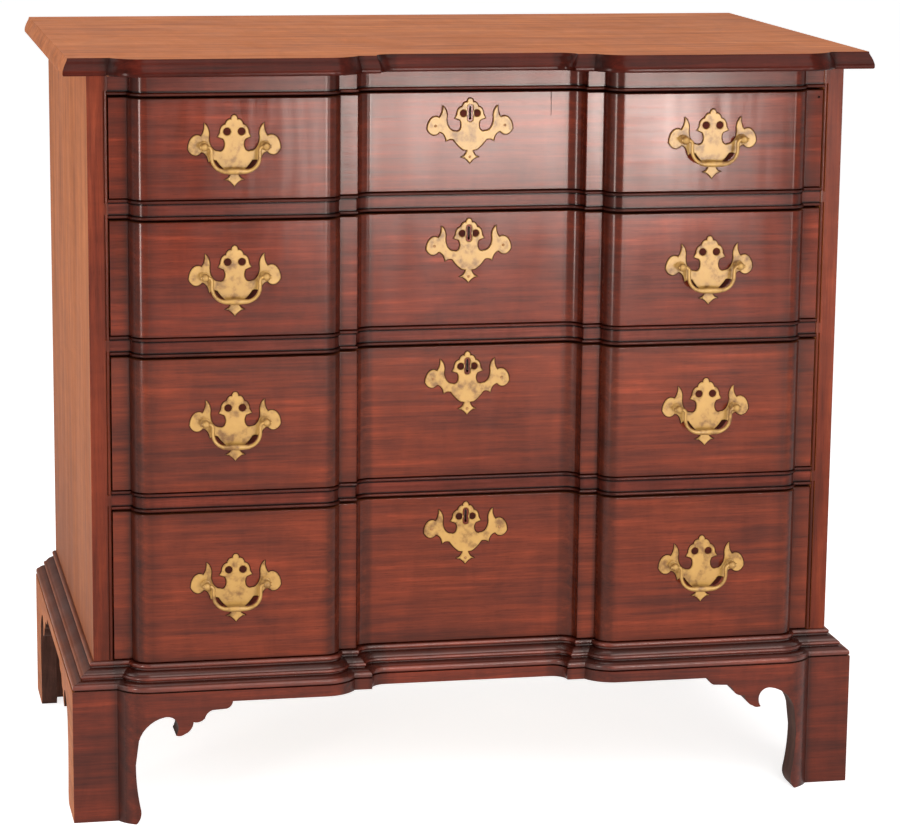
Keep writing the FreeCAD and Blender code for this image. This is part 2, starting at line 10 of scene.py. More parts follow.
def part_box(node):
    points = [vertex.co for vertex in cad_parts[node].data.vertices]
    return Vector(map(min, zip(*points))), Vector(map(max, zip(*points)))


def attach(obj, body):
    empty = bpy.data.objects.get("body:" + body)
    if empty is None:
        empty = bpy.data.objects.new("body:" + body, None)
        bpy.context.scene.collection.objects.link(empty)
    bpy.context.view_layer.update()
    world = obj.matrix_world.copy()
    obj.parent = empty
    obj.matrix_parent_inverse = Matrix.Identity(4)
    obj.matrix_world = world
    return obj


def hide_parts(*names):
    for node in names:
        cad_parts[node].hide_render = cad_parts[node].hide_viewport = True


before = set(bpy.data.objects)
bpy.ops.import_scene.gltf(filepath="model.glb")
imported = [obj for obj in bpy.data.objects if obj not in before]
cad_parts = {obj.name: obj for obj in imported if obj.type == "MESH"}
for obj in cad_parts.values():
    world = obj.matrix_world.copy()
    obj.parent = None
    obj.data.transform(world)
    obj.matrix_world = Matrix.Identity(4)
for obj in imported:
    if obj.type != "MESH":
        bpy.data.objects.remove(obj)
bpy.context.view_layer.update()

# ------------ sizes, in metres
mm = 0.001
side_low, side_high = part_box("side_right")
top_low, top_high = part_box("top_board")
moulding_low, moulding_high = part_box("base_moulding_front")
fascia_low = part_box("base_fascia")[0]
bracket_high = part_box("foot_side_brackets")[1]

front_plane = side_low.y  # face of the stiles; depths are measured behind it
case_half = side_high.x
opening_half = side_low.x
case_depth = side_high.y - front_plane
case_top = top_low.z
base_top = moulding_high.z
foot_height = moulding_low.z

recess_half_width = 122 * mm
recess_draw = 0.75  # narrowing of the recess over the distance that a piece stands out
recess_depth = 16.5 * mm
cove_width = 17 * mm
cove_depth = 14.8 * mm
wall_round = 1.2 * mm  # rounding of the front corner of the recess
block_inner = 141 * mm
block_outer = 364.6 * mm
block_growth = 0.2  # the same for how far the outer ends move out
block_proud = 19.5 * mm
arc_steps = 12  # chords in each rolled end
fine_steps = 7  # chords in each arc of a sawn outline
corner_steps = 3  # chords in each eased corner
turned_steps = 28  # sides of a turned piece
tube_steps = 16  # sides of a bar or pin
head_steps = 12  # sides of a screw's head
eye_steps = 24  # sides of a plate's eye
bend_steps = 10  # chords in a bead, a ball head or a bend of a bail

top_front_overhang = front_plane - top_low.y - block_proud
top_side_overhang = top_high.x - case_half
top_rear = top_high.y - front_plane
base_front_reach = 19 * mm
base_side_reach = bracket_high.x - case_half
base_board_depth = 45 * mm
fascia_back = 16 * mm
bracket_back = -5 * mm  # rear face of the front feet
side_bracket_thickness = 18 * mm

bead_radius = 1.8 * mm
quirk_width = 0.8 * mm
quirk_depth = 1.1 * mm
arris = 0.7 * mm  # rounding of the drawer fronts' edges
back_rabbet = 10 * mm
back_thickness = 12 * mm
blade_depth = 70 * mm
front_set_back = 0.6 * mm
front_back = 36.5 * mm  # rear face of the drawer fronts

foot_width = 64.8 * mm
ankle_height = 66 * mm
toe_height = 16 * mm
toe_flare = 5 * mm
knee_flare = 1.2 * mm
sole_flare = 4.5 * mm
wing_reach = 103.4 * mm
wing_drop = 35.8 * mm
wing_length = foot_width + wing_reach

scoop_depth = 16 * mm
scoop_radius = 14 * mm
scoop_floor = 22 * mm

plate_width = 97.5 * mm
plate_height = 74 * mm
plate_thickness = 1.6 * mm
plate_chamfer = 0.7 * mm
polish_and_shadow_rim = 0.9 * mm  # old polish and painted contact shadow left round each plate
polish_and_shadow_thickness = 0.3 * mm
bail_shadow_width = 6 * mm  # of the painted shadows, dark crescents, inside a bail
bail_shadow_ends = (15, -75)  # of the painted shadows, in degrees
escutcheon_width = 93.5 * mm
escutcheon_height = 69 * mm
escutcheon_drop = 8.7 * mm
keyhole_width = 6.2 * mm
keyhole_height = 18.5 * mm
key_slot_width = 2.4 * mm  # sawn in the wood behind the keyhole
keyhole_drop = 6.5 * mm
post_stand = 9.5 * mm
post_inset = 5 * mm  # from the end of a bail to the middle of its post
ball_radius = 4.3 * mm
ball_depth = 0.85  # of the ball head over its radius
ball_tip = 0.2 * mm
shank_radius = 2.2 * mm
shank_length = 49 * mm
shank_tip = 0.3 * mm
shank_shoulder = 1 * mm
shank_chamfer = 0.4 * mm
crack_place = 87.4 * mm  # to the right of the middle
crack_depth = 3 * mm
old_nail_place = (378.7 * mm, 762.8 * mm)
old_nail_radius = 1.3 * mm
old_nail_depth = 5 * mm
nut_size = 7 * mm
nut_thickness = 3 * mm
nut_wear = 0.5 * mm
nut_edge = 0.4 * mm
screw_radius = 2.4 * mm
screw_inset = 5 * mm
nail_radius = 2.8 * mm
nail_rows = 9
bolt_throw = 8 * mm
bolt_clearance = 0.6 * mm
bail_radius = 1.9 * mm
bail_swell = 1.35 * mm  # at the middle of the grip
bail_half_width = 25 * mm
bail_drop = 25.5 * mm
bail_corner = 15 * mm
bail_turn = 4 * mm  # radius where a bail leaves its post
grip_share = 0.8  # swollen part of the bail's half width
grip_depth = 0.5  # swelling along Y over that in the bail's plane
cut_margin = 1 * mm
tiny = 0.001 * mm  # points closer than this are one
front_facing = 0.35  # least forward share of the normal of a face that takes a piece's second material
sawn_facing = 0.02  # the same on a sawn bracket
level_face = 0.9  # least upright share of the normal of a level face


# ------------ points
def place(x, depth, z):
    """Point at a depth behind the front plane."""
    return Vector((x, front_plane + depth, z))


def ring_at(z, points):
    """Ring of (x, depth) points at a height."""
    return [place(x, depth, z) for x, depth in points]


def arc(centre, radius, start, end, steps=arc_steps):
    """Points round a centre from one angle to another, in degrees."""
    angles = [math.radians(start + (end - start) * step / steps) for step in range(steps + 1)]
    return [(centre[0] + radius * math.cos(a), centre[1] + radius * math.sin(a)) for a in angles]


def through(first, middle, last):
    """Points on the arc through three points."""
    (ax, ay), (bx, by), (cx, cy) = first, middle, last
    cross = 2 * (ax * (by - cy) + bx * (cy - ay) + cx * (ay - by))
    a2, b2, c2 = ax * ax + ay * ay, bx * bx + by * by, cx * cx + cy * cy
    x = (a2 * (by - cy) + b2 * (cy - ay) + c2 * (ay - by)) / cross
    y = (a2 * (cx - bx) + b2 * (ax - cx) + c2 * (bx - ax)) / cross
    angles = [math.degrees(math.atan2(py - y, px - x)) for px, py in (first, middle, last)]
    turn = (angles[2] - angles[0]) % 360
    if (angles[1] - angles[0]) % 360 > turn:
        turn -= 360
    return arc((x, y), math.hypot(ax - x, ay - y), angles[0], angles[0] + turn, fine_steps)


def run_points(start, runs):
    """Points from a start through runs: lines to one point, and arcs through two or four."""
    points = [start]
    for run in runs:
        stops = [start, *run]
        points += run if len(run) == 1 else []
        for first in range(0, len(run) - 1, 2):
            points += through(*stops[first : first + 3])[1:]
        start = run[-1]
    return points


def landmarks(offset):
    """Wall of the recess, and the middles and radius of a block's rolled ends."""
    outer = block_outer + block_growth * offset - block_proud
    return recess_half_width - recess_draw * offset, block_inner + block_proud, outer, block_proud + offset


def half_outline(offset):
    """Right half of the blocked front line, moved outwards by offset, from the middle on."""
    wall, inner, outer, radius = landmarks(offset)
    floor = recess_depth - offset
    start = math.degrees(math.asin(offset / radius))
    cove = arc((0, 0), 1, 90, 0)
    points = [(wall + cove_width * (x - 1), floor + cove_depth * (y - 1)) for x, y in cove]
    points += arc((wall + wall_round, wall_round - offset), wall_round, 180, 270, corner_steps)
    points += arc((inner, 0), radius, 180 + start, 270)
    points += arc((outer, 0), radius, 270, 360 - start)
    return points


def blocked_ring(offset, ends, z):
    """Closed outline at a height: the blocked front line and the end points, on both sides."""
    right = half_outline(offset) + list(ends)
    left = [(-x, depth) for x, depth in right[::-1]]
    return ring_at(z, right + left)


def mirrored(points):
    return [Vector((-point.x, point.y, point.z)) for point in points]


# ------------ solids
def loft(*stacks):
    """Closed solids, each through a stack of rings of equally many points."""
    solid = bmesh.new()
    for rings in stacks:
        rows = [[solid.verts.new(point) for point in ring] for ring in rings]
        for row, upper in zip(rows, rows[1:]):
            for quad in zip(row, row[1:] + row[:1], upper[1:] + upper[:1], upper):
                solid.faces.new(quad)
        solid.faces.new(rows[0][::-1])
        solid.faces.new(rows[-1])
    bmesh.ops.recalc_face_normals(solid, faces=solid.faces)
    return solid


def prism(points, reach):
    """Stack of two rings: an outline and the same moved by reach."""
    return [points, [point + reach for point in points]]


def block(low, high):
    """Stack of two rings round a box."""
    corners = [(low.x, low.y), (high.x, low.y), (high.x, high.y), (low.x, high.y)]
    return [[Vector((x, y, z)) for x, y in corners] for z in (low.z, high.z)]


def lathe(profile, middle, steps=turned_steps):
    """Stack of rings about a line along Y; profile holds (reach forwards, radius) pairs."""
    circle = arc((0, 0), 1, 0, 360, steps)[:-1]
    rings = []
    for reach, radius in profile:
        rings.append([middle + Vector((radius * u, -reach, radius * v)) for u, v in circle])
    return rings


def tube(path, radii):
    """Stack of rings along an upright path; radii holds (in its plane, along Y) pairs."""
    circle = arc((0, 0), 1, 0, 360, tube_steps)[:-1]
    rings = []
    for before, point, after, (flat, deep) in zip(path[:1] + path, path, path[1:] + path[-1:], radii):
        side = (after - before).normalized().cross(Vector((0, 1, 0)))
        rings.append([point + side * (flat * u) + Vector((0, deep * v, 0)) for u, v in circle])
    return rings


def joined(meshes):
    solid = bmesh.new()
    for mesh in meshes:
        solid.from_mesh(mesh)
    return solid


def mesh_of(name, solid):
    """Mesh made of a solid, which is used up."""
    mesh = bpy.data.meshes.new(name)
    solid.to_mesh(mesh)
    solid.free()
    return mesh


def in_scene(name, data):
    """New object, linked to the scene."""
    made = bpy.data.objects.new(name, data)
    bpy.context.scene.collection.objects.link(made)
    return made


def evaluated_mesh(made):
    """Mesh of an object with its modifiers applied."""
    return bpy.data.meshes.new_from_object(made.evaluated_get(bpy.context.evaluated_depsgraph_get()))


def combine(solid, operation, *others):
    """The solid with other solids cut away (DIFFERENCE), or only what lies in them (INTERSECT)."""
    objects = [in_scene("work", mesh_of("work", part)) for part in (solid, *others)]
    for other in objects[1:]:
        modifier = objects[0].modifiers.new("cut", "BOOLEAN")
        modifier.operation = operation
        modifier.solver = "EXACT"
        modifier.object = other
    result = joined([evaluated_mesh(objects[0])])
    for made in objects:
        bpy.data.objects.remove(made)
    return result


def copy_of(node):
    """Closed copy of a CAD node's mesh."""
    solid = joined([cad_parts[node].data])
    bmesh.ops.remove_doubles(solid, verts=solid.verts, dist=tiny)
    bmesh.ops.dissolve_limit(solid, angle_limit=math.radians(0.5), verts=solid.verts, edges=solid.edges)
    return solid


# Rules that pick the faces which take a piece's second material. This is the finish of the front, except on
# the side brackets, whose forward cut ends take the darker unpolished wood; the two materials of the top,
# sides, feet and fascia also differ by painted light and shade.
def turned_forward(face):
    return face.normal.y < -front_facing


def not_sawn(face):
    return face.normal.y < -sawn_facing


def not_level(face):
    return abs(face.normal.z) < level_face


def on_moulded_edge(face):
    middle = face.calc_center_median()
    within = abs(middle.x) < opening_half and middle.y < 0
    return turned_forward(face) or (within and not_level(face))


def in_front(face):
    return face.calc_center_median().y < front_plane + fascia_back


def show(name, solid, body, slot, materials, *nodes, sharp=28, front=turned_forward):
    """Finished piece, smooth between sharp edges but flat on its large faces, that rides on a body and
    stands for CAD nodes. A second material goes on the faces that front() picks."""
    bmesh.ops.dissolve_degenerate(solid, dist=tiny, edges=solid.edges)
    solid.normal_update()
    for face in solid.faces:
        face.material_index = int(len(materials) > 1 and front(face))
    mesh = mesh_of(name, solid)
    if mesh.has_custom_normals:
        mesh.attributes.remove(mesh.attributes["custom_normal"])
    mesh.shade_smooth()
    mesh.set_sharp_from_angle(angle=math.radians(sharp))
    for material in materials:
        mesh.materials.append(material)
    piece = in_scene(name, mesh)
    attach(piece, body)
    if nodes:
        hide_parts(*nodes)
    weigh = piece.modifiers.new("even_shading", "WEIGHTED_NORMAL")
    weigh.keep_sharp = True
    piece.data = evaluated_mesh(piece)
    piece.modifiers.clear()


def dress(node, solid, materials, body="case", slot="mahogany", **options):
    """Finished piece that stands for a CAD node."""
    show("dressed_" + node, solid, body, slot, materials, node, **options)


# ------------ materials
def linear(level):
    """Linear light of an sRGB level from 0 to 255."""
    level /= 255
    return level / 12.92 if level <= 0.04045 else ((level + 0.055) / 1.055) ** 2.4


def rgb(red, green, blue):
    return [linear(red), linear(green), linear(blue), 1]


def feed(node, inputs):
    """Numbers, colours or the outputs of other nodes given to a shader node."""
    for key, value in inputs.items():
        if isinstance(value, bpy.types.NodeSocket):
            node.id_data.links.new(value, node.inputs[key])
        else:
            node.inputs[key].default_value = value


def add(tree, kind, inputs, **settings):
    """Outputs of a new shader node."""
    made = tree.nodes.new("ShaderNode" + kind)
    for key, value in settings.items():
        setattr(made, key, value)
    feed(made, inputs)
    return made.outputs


def shaded(tree, colour, shade, share=1.0):
    """Colour multiplied by a shade."""
    inputs = {0: share, 6: colour, 7: shade}
    return add(tree, "Mix", inputs, data_type="RGBA", blend_type="MULTIPLY")[2]


def ramp(tree, value, stops):
    """Colour ramp over a value; stops holds (position, colour) pairs."""
    made = tree.nodes.new("ShaderNodeValToRGB")
    feed(made, {0: value})
    elements = made.color_ramp.elements
    while len(elements) < len(stops):
        elements.new(0.5)
    for element, (position, colour) in zip(elements, stops):
        element.position = position
        element.color = colour
    return made.outputs[0]


def math_node(tree, operation, first, second=0.0):
    return add(tree, "Math", {0: first, 1: second}, operation=operation)[0]


def weighted(tree, shares, parts):
    """Sum of outputs, each times its share."""
    total = 0.0
    for share, part in zip(shares, parts):
        total = math_node(tree, "ADD", total, math_node(tree, "MULTIPLY", part, share))
    return total


def remap(tree, value, span, new_span):
    """Value moved from one span to another, and held within it."""
    inputs = {0: value, 1: span[0], 2: span[1], 3: new_span[0], 4: new_span[1]}
    return add(tree, "MapRange", inputs)[0]


def seen_straight(tree):
    """Whether a ray comes from the camera, a mirror or glass."""
    rays = add(tree, "LightPath", {})
    seen = math_node(tree, "MAXIMUM", rays["Is Camera Ray"], rays["Is Glossy Ray"])
    return math_node(tree, "MAXIMUM", seen, rays["Is Transmission Ray"])


def new_material(name):
    """Material with its Principled shader, and its texture coordinates."""
    material = bpy.data.materials.new(name)
    material.use_nodes = True
    tree = material.node_tree
    return material, tree, tree.nodes["Principled BSDF"], add(tree, "TexCoord", {})


def stretched(tree, spot, grain, along, across, start):
    """Coordinates scaled per metre, less along the grain than across it."""
    scale = [across] * 3
    scale["XYZ".index(grain)] = along
    return add(tree, "Mapping", {"Vector": spot, "Location": start, "Scale": scale})[0]


def noise(tree, spot, grain, scale, start, detail=3.0, roughness=0.55, distortion=0.0):
    vector = stretched(tree, spot, grain, *scale, start)
    inputs = {"Vector": vector, "Scale": 1.0, "Detail": detail, "Roughness": roughness}
    return add(tree, "TexNoise", {**inputs, "Distortion": distortion})[0]


def grey(level):
    return (level, level, level, 1)


# Painted shade and painted highlights, with old polish, at distances in mm from the recess's wall and from
# a block's two ends: dark in the corners and on the rolled ends where shade falls, lighter bands where the
# rolls catch the light.
wall_shades = ((-21, 1.0), (-17, 0.66), (-4, 0.55), (0, 0.35), (1.5, 0.5), (3, 0.92))
inner_shades = ((-4, 0.86), (0, 0.32), (3, 0.36), (8, 0.48), (14, 0.55), (17.5, 0.8), (20, 1.0))
outer_shades = (
    (-32, 1.0), (-25, 0.85), (-18, 0.62), (-15, 0.85), (-12, 0.85), (-9.5, 0.5), (-3, 0.36), (0, 0.3),
    (1, 0.5), (5, 0.8), (12, 0.95),
)


def shade_and_polish_stops(offset):
    """Stops of painted shade and highlights, with old polish, over the distance from the middle of a piece
    blocked with an offset.
    """
    wall, inner, outer, radius = landmarks(offset)
    reach = math.sqrt(radius * radius - offset * offset)
    lines = ((wall, wall_shades), (inner - reach, inner_shades), (outer + reach, outer_shades))
    stops = []
    for spot, shades in lines:
        stops += [(spot + distance * mm, grey(shade)) for distance, shade in shades]
    return stops


def crevices(tree, spot, colour, stops):
    """Colour darkened by painted shade and old polish at distances from the middle, and its shade there."""
    x = add(tree, "SeparateXYZ", {0: spot})[0]
    shade = ramp(tree, math_node(tree, "ABSOLUTE", x), stops)
    return shaded(tree, colour, shade), shade


redder = (1, 1.25, 1.5)  # powers of a shade in red, green and blue


def over_height(tree, height, colour, stops):
    """Colour shaded over a piece's height by painted shade and highlights, or by dark joints, and redder
    where darker.
    """
    z = add(tree, "SeparateXYZ", {0: height})[2]
    shade = ramp(tree, z, [(share, (*(level**power for power in redder), 1)) for share, level in stops])
    return shaded(tree, colour, shade)


# Shades of a piece, with their place as a share of its height. Those of the drawer fronts, blades, rail,
# moulding and side are painted light: painted shade at the fronts' upper and lower edges, on the beads and
# in their quirks, under the top board, in the moulding's grooves and low on the side, and painted
# highlights on the moulding's beads. Those of the back boards are their dark joints.
front_edges = ((0.0, 0.5), (0.03, 0.85), (0.1, 1.0), (0.9, 1.0), (0.97, 0.85), (1.0, 0.6))
bead_shades = (
    (0.0, 0.3), (0.03, 0.45), (0.08, 0.66), (0.12, 0.62), (0.16, 0.35), (0.18, 0.12), (0.23, 0.12),
)
upper_bead = tuple((1.0 - share, shade) for share, shade in bead_shades[::-1])
blade_edges = bead_shades + ((0.26, 0.75), (0.32, 1.0), (0.68, 1.0), (0.74, 0.75)) + upper_bead
rail_edges = bead_shades + ((0.26, 0.8), (0.32, 1.0), (0.85, 1.0), (0.95, 0.7), (1.0, 0.4))
side_painted_shade = ((0.0, 0.6), (0.12, 0.7), (0.35, 0.87), (0.6, 1.0))
moulding_edges = (
    (0.0, 0.3), (0.02, 0.25), (0.06, 0.5), (0.12, 1.1), (0.2, 1.1), (0.27, 0.6), (0.34, 0.3), (0.4, 0.35),
    (0.45, 0.9), (0.52, 0.9), (0.57, 0.5), (0.64, 0.35), (0.76, 0.25), (0.82, 0.4), (0.88, 1.0),
    (0.95, 0.95), (1.0, 0.5),
)
joint_shades = ((-0.008, 1.0), (-0.003, 0.3), (0.003, 0.3), (0.008, 1.0))
board_edges = [(joint + rise, shade) for joint in (0.333, 0.667) for rise, shade in joint_shades]

# Painted shade on a stile at distances in mm from the opening: bead, quirk and flat.
stile_shades = ((-0.5, 0.3), (0.6, 0.62), (3, 0.62), (3.8, 0.25), (4.6, 0.3), (5.4, 0.95))
stile_stops = [(opening_half + distance * mm, grey(shade)) for distance, shade in stile_shades]

# Features of the wood per metre, along the grain and across it.
fibre_scale = (12, 520)
streak_scale = (8, 120)
blotch_scale = (5, 18)
curl_scale = (34, 9)
pore_scale = (90, 1500)
wave_scale = (3, 22)  # of the hand plane
ring_stretch = 0.09  # scale of the rings along the grain over that across it

figure_shares = (0.06, 0.34, 0.34, 0.26)  # of rings, streaks, blotches and fibres in the figure
figure_places = (0.38, 0.48, 0.55, 0.64)  # of the four colours in the figure
middle_values = (0.3, 0.7)  # span that holds most values of a noise
pore_stops = ((0.3, grey(0.45)), (0.4, grey(1)))
pore_strength = 0.4
wear_shares = (0.4, 0.6)  # of fibres and plane marks in the gloss
relief_shares = (0.5, 0.5)  # of fibres and pores in the relief
relief_height = 0.06 * mm
dull_shades = (0.3, 0.5)  # old polish under painted shade of the first value is rougher by dull_extra
dull_extra = 0.3
varnish_tint = (1.0, 0.86, 0.8, 1)  # of light mirrored by the old shellac


def figured(tree, spot, grain, start, ring, mottle, colours):
    """Colour of the wood, and its fibres and pores."""
    fibre = noise(tree, spot, grain, fibre_scale, start, 4, 0.65)
    streak = noise(tree, spot, grain, streak_scale, start, 5, 0.6, 0.5)
    blotch = noise(tree, spot, grain, blotch_scale, start, distortion=0.8)
    curl = noise(tree, spot, grain, curl_scale, start, distortion=1.2)
    turned = stretched(tree, spot, grain, ring * ring_stretch, ring, start)
    waviness = {"Vector": turned, "Scale": 1.0, "Distortion": 9.0, "Detail": 3.0, "Detail Scale": 1.3}
    settings = {"wave_type": "RINGS", "rings_direction": grain, "wave_profile": "SIN"}
    rings = add(tree, "TexWave", waviness, **settings)[1]
    figure = weighted(tree, figure_shares, (rings, streak, blotch, fibre))
    colour = ramp(tree, figure, [(place, rgb(*tint)) for place, tint in zip(figure_places, colours)])
    sheen = ramp(tree, curl, ((0.35, grey(1 - mottle)), (0.65, grey(1 + 0.4 * mottle))))
    pores = noise(tree, spot, grain, pore_scale, start, 1)
    colour = shaded(tree, shaded(tree, colour, sheen), ramp(tree, pores, pore_stops), pore_strength)
    return colour, fibre, pores


def wood(name, grain, colours, start, ring, mottle, specular=0.25, polish=(0.14, 0.24),
         blocked=None, edges=None, ripple=0.0):
    """Mahogany or pine. The stops in blocked shade a piece by the distance from the middle, with painted
    shade and highlights and old polish; edges shade it over its height, with painted shade and highlights
    or dark joints; and ripple is the depth of the hand plane's marks."""
    material, tree, shader, coordinates = new_material(name)
    spot = coordinates["Object"]
    colour, fibre, pores = figured(tree, spot, grain, start, ring, mottle, colours)
    dull = 0.0
    if blocked is not None:
        colour, shade = crevices(tree, spot, colour, blocked)
        dull = remap(tree, shade, dull_shades, (dull_extra, 0.0))
    if edges:
        colour = over_height(tree, coordinates["Generated"], colour, edges)
    waves = noise(tree, spot, "Z", wave_scale, start, 2)
    gloss = remap(tree, weighted(tree, wear_shares, (fibre, waves)), middle_values, polish)
    hand = add(tree, "Bump", {"Strength": 1.0, "Distance": ripple, "Height": waves})[0]
    relief = weighted(tree, relief_shares, (fibre, pores))
    depths = {"Strength": 0.15, "Distance": relief_height, "Height": relief, "Normal": hand}
    feed(shader, {
        "Base Color": colour,
        "Roughness": math_node(tree, "ADD", gloss, dull),
        "Normal": add(tree, "Bump", depths)[0],
        "Specular IOR Level": specular,
        "Specular Tint": varnish_tint,
    })
    return material


tarnish_roughness = 0.14  # added to the roughness where the metal is tarnished
pits_per_patch = 5
pit_depth = 0.25 * mm


def metal(name, light, dark, roughness, scale, lacquer=0.0):
    """Cast and filed metal with tarnish in soft patches; scale is in patches per metre."""
    material, tree, shader, coordinates = new_material(name)
    spot = coordinates["Object"]
    patch = noise(tree, spot, "X", (scale, scale), (0, 0, 0), 4, 0.6)
    colour = ramp(tree, patch, ((0.32, rgb(*dark)), (0.5, rgb(*light)), (0.75, rgb(*light))))
    fine = scale * pits_per_patch
    pits = noise(tree, spot, "X", (fine, fine), (0, 0, 0))
    depths = {"Strength": 0.3, "Distance": pit_depth, "Height": pits}
    feed(shader, {
        "Base Color": colour,
        "Roughness": remap(tree, patch, middle_values, (roughness + tarnish_roughness, roughness)),
        "Normal": add(tree, "Bump", depths)[0],
        "Metallic": 1.0,
        "Coat Weight": lacquer,
        "Coat Roughness": 0.26,
        "Coat IOR": 1.6,
    })
    return material


# Colours of the figure, from the darkest to the brightest streak.
red_mahogany = ((78, 29, 19), (101, 37, 21), (115, 42, 23), (142, 54, 29))
warm_mahogany = ((81, 33, 22), (105, 42, 25), (119, 48, 27), (146, 60, 34))
foot_mahogany = ((70, 27, 19), (92, 35, 22), (105, 40, 24), (130, 52, 31))
stile_mahogany = ((84, 33, 20), (107, 42, 25), (120, 49, 28), (142, 62, 37))
blade_mahogany = ((72, 27, 19), (92, 36, 25), (104, 42, 29), (126, 54, 38))
# Painted shade: the top board's front edge takes these darker colours than its top face.
shaded_mahogany = ((50, 15, 10), (66, 20, 12), (77, 24, 15), (94, 33, 21))
base_mahogany = ((70, 27, 19), (92, 36, 24), (106, 42, 28), (130, 54, 36))
# Painted light: the top, sides and side brackets take these lighter, browner colours because light falls on
# them from above and from the left.
lit_mahogany = ((158, 88, 48), (184, 106, 60), (194, 114, 66), (206, 128, 78))
raw_mahogany = ((88, 44, 30), (112, 58, 38), (124, 66, 43), (146, 82, 54))
# Unpolished sawn wood on cut faces and on the parts under the case, darker still as painted shade.
shaded_umber = ((56, 35, 29), (74, 47, 39), (86, 55, 45), (106, 70, 57))
# Painted light: the side lengths of the base moulding are lighter than the front length.
lit_side_base_mahogany = ((122, 64, 38), (146, 79, 47), (158, 87, 53), (176, 102, 64))
plain_pine = ((150, 104, 62), (184, 142, 94), (198, 160, 112), (210, 174, 128))

# Dark layer round the brasses: old polish with painted contact shadow, and the bails' painted shadow.
shellac_and_shadow = ((44, 14, 8), (60, 20, 11), (70, 24, 14), (86, 32, 18))
satin = (0.5, 0.62)  # least and greatest roughness of old polish that has gone dull
planed = (0.55, 0.75)  # and of bare wood
sawn = (0.6, 0.75)

top_wood = wood("mahogany_top", "X", lit_mahogany, (0.3, 0.9, 0.1), 22, 0.08, 0.04, satin)
side_wood = wood(
    "mahogany_side", "Z", lit_mahogany, (0.2, 0.4, 1.7), 18, 0.08, 0.04, satin, edges=side_painted_shade,
)
side_base_wood = wood(
    "mahogany_side_base", "Y", lit_side_base_mahogany, (0.4, 0.6, 0.2), 24, 0.1, 0.05, (0.4, 0.55),
    edges=moulding_edges,
)
side_foot_wood = wood("mahogany_side_foot", "Y", lit_mahogany, (0.9, 0.6, 0.2), 24, 0.1, 0.04, satin)
stile_wood = wood(
    "mahogany_stile", "Z", stile_mahogany, (0.9, 0.1, 0.7), 22, 0.12, 0.16, blocked=stile_stops,
)
edge_wood = wood(
    "mahogany_edge", "X", shaded_mahogany, (0.6, 0.2, 0.9), 30, 0.15, 0.09,
    blocked=shade_and_polish_stops(top_front_overhang),
)
blade_wood = wood(
    "mahogany_blade", "X", blade_mahogany, (1.1, 0.3, 0.6), 30, 0.15, 0.15,
    blocked=shade_and_polish_stops(-bead_radius), edges=blade_edges,
)
rail_wood = wood(
    "mahogany_rail", "X", blade_mahogany, (0.8, 0.3, 0.6), 30, 0.15, 0.18,
    blocked=shade_and_polish_stops(-bead_radius), edges=rail_edges,
)
base_stops = shade_and_polish_stops(base_front_reach)
base_wood = wood(
    "mahogany_base", "X", base_mahogany, (0.7, 0.5, 0.2), 30, 0.15, 0.45, (0.2, 0.3),
    blocked=base_stops, edges=moulding_edges,
)
foot_wood = wood("mahogany_foot", "X", foot_mahogany, (0.2, 0.8, 0.4), 26, 0.15, blocked=base_stops)
grime_and_shadow_wood = wood("mahogany_grime_and_shadow", "X", shellac_and_shadow, (0.3, 0.1, 0.4), 26, 0.2, 0.08, (0.5, 0.6))
unpolished_shaded_wood = wood("mahogany_unpolished", "Z", shaded_umber, (0.3, 0.3, 0.4), 26, 0.2, 0.1, sawn)
raw_wood = wood("mahogany_raw", "X", raw_mahogany, (0.5, 0.3, 0.8), 26, 0.15, 0.06, sawn)
pine = wood("pine", "X", plain_pine, (0.1, 0.6, 0.2), 30, 0.05, 0.2, planed)
back_pine = wood("pine_back", "X", plain_pine, (0.7, 0.6, 0.4), 30, 0.05, 0.2, planed, edges=board_edges)
pine_deep = wood("pine_along", "Y", plain_pine, (0.5, 0.1, 0.7), 30, 0.05, 0.2, planed)
brass = metal("brass", (166, 128, 68), (124, 86, 43), 0.58, 90, 0.42)
dull_brass = metal("brass_dull", (150, 108, 66), (110, 72, 38), 0.6, 200, 0.2)
iron = metal("iron", (118, 112, 104), (62, 52, 44), 0.42, 160)


# ------------ case
# Profile of the top board from below: share of the thickness, and mm behind the nose.
nose_profile = ((0.0, 1.2), (0.03, 0.5), (0.07, 0.1), (0.1, 0.0), (0.2, 0.0), (0.26, 0.12), (0.34, 0.5))
thumb_profile = (
    (0.42, 0.95), (0.5, 1.45), (0.6, 2.2), (0.7, 3.1), (0.8, 4.1), (0.88, 4.8), (0.95, 5.1), (1.0, 5.3),
)


def dress_top():
    """Top board: rounded nose below, thumb moulding above, both following the blocking."""
    thick = top_high.z - top_low.z
    rings = []
    for share, set_back in nose_profile + thumb_profile:
        back = set_back * mm
        side = case_half + top_side_overhang - back
        ends = [(side, back - top_front_overhang), (side, top_rear)]
        rings.append(blocked_ring(top_front_overhang - back, ends, case_top + share * thick))
    dress("top_board", loft(rings), [top_wood, edge_wood], front=on_moulded_edge)


def opening(number):
    """Lowest and highest level of the opening of a drawer."""
    above = "top_front_rail" if number == 1 else "drawer_blade_" + str(number - 1)
    low = base_top if number == 4 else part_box("drawer_blade_" + str(number))[1].z
    return low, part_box(above)[0].z


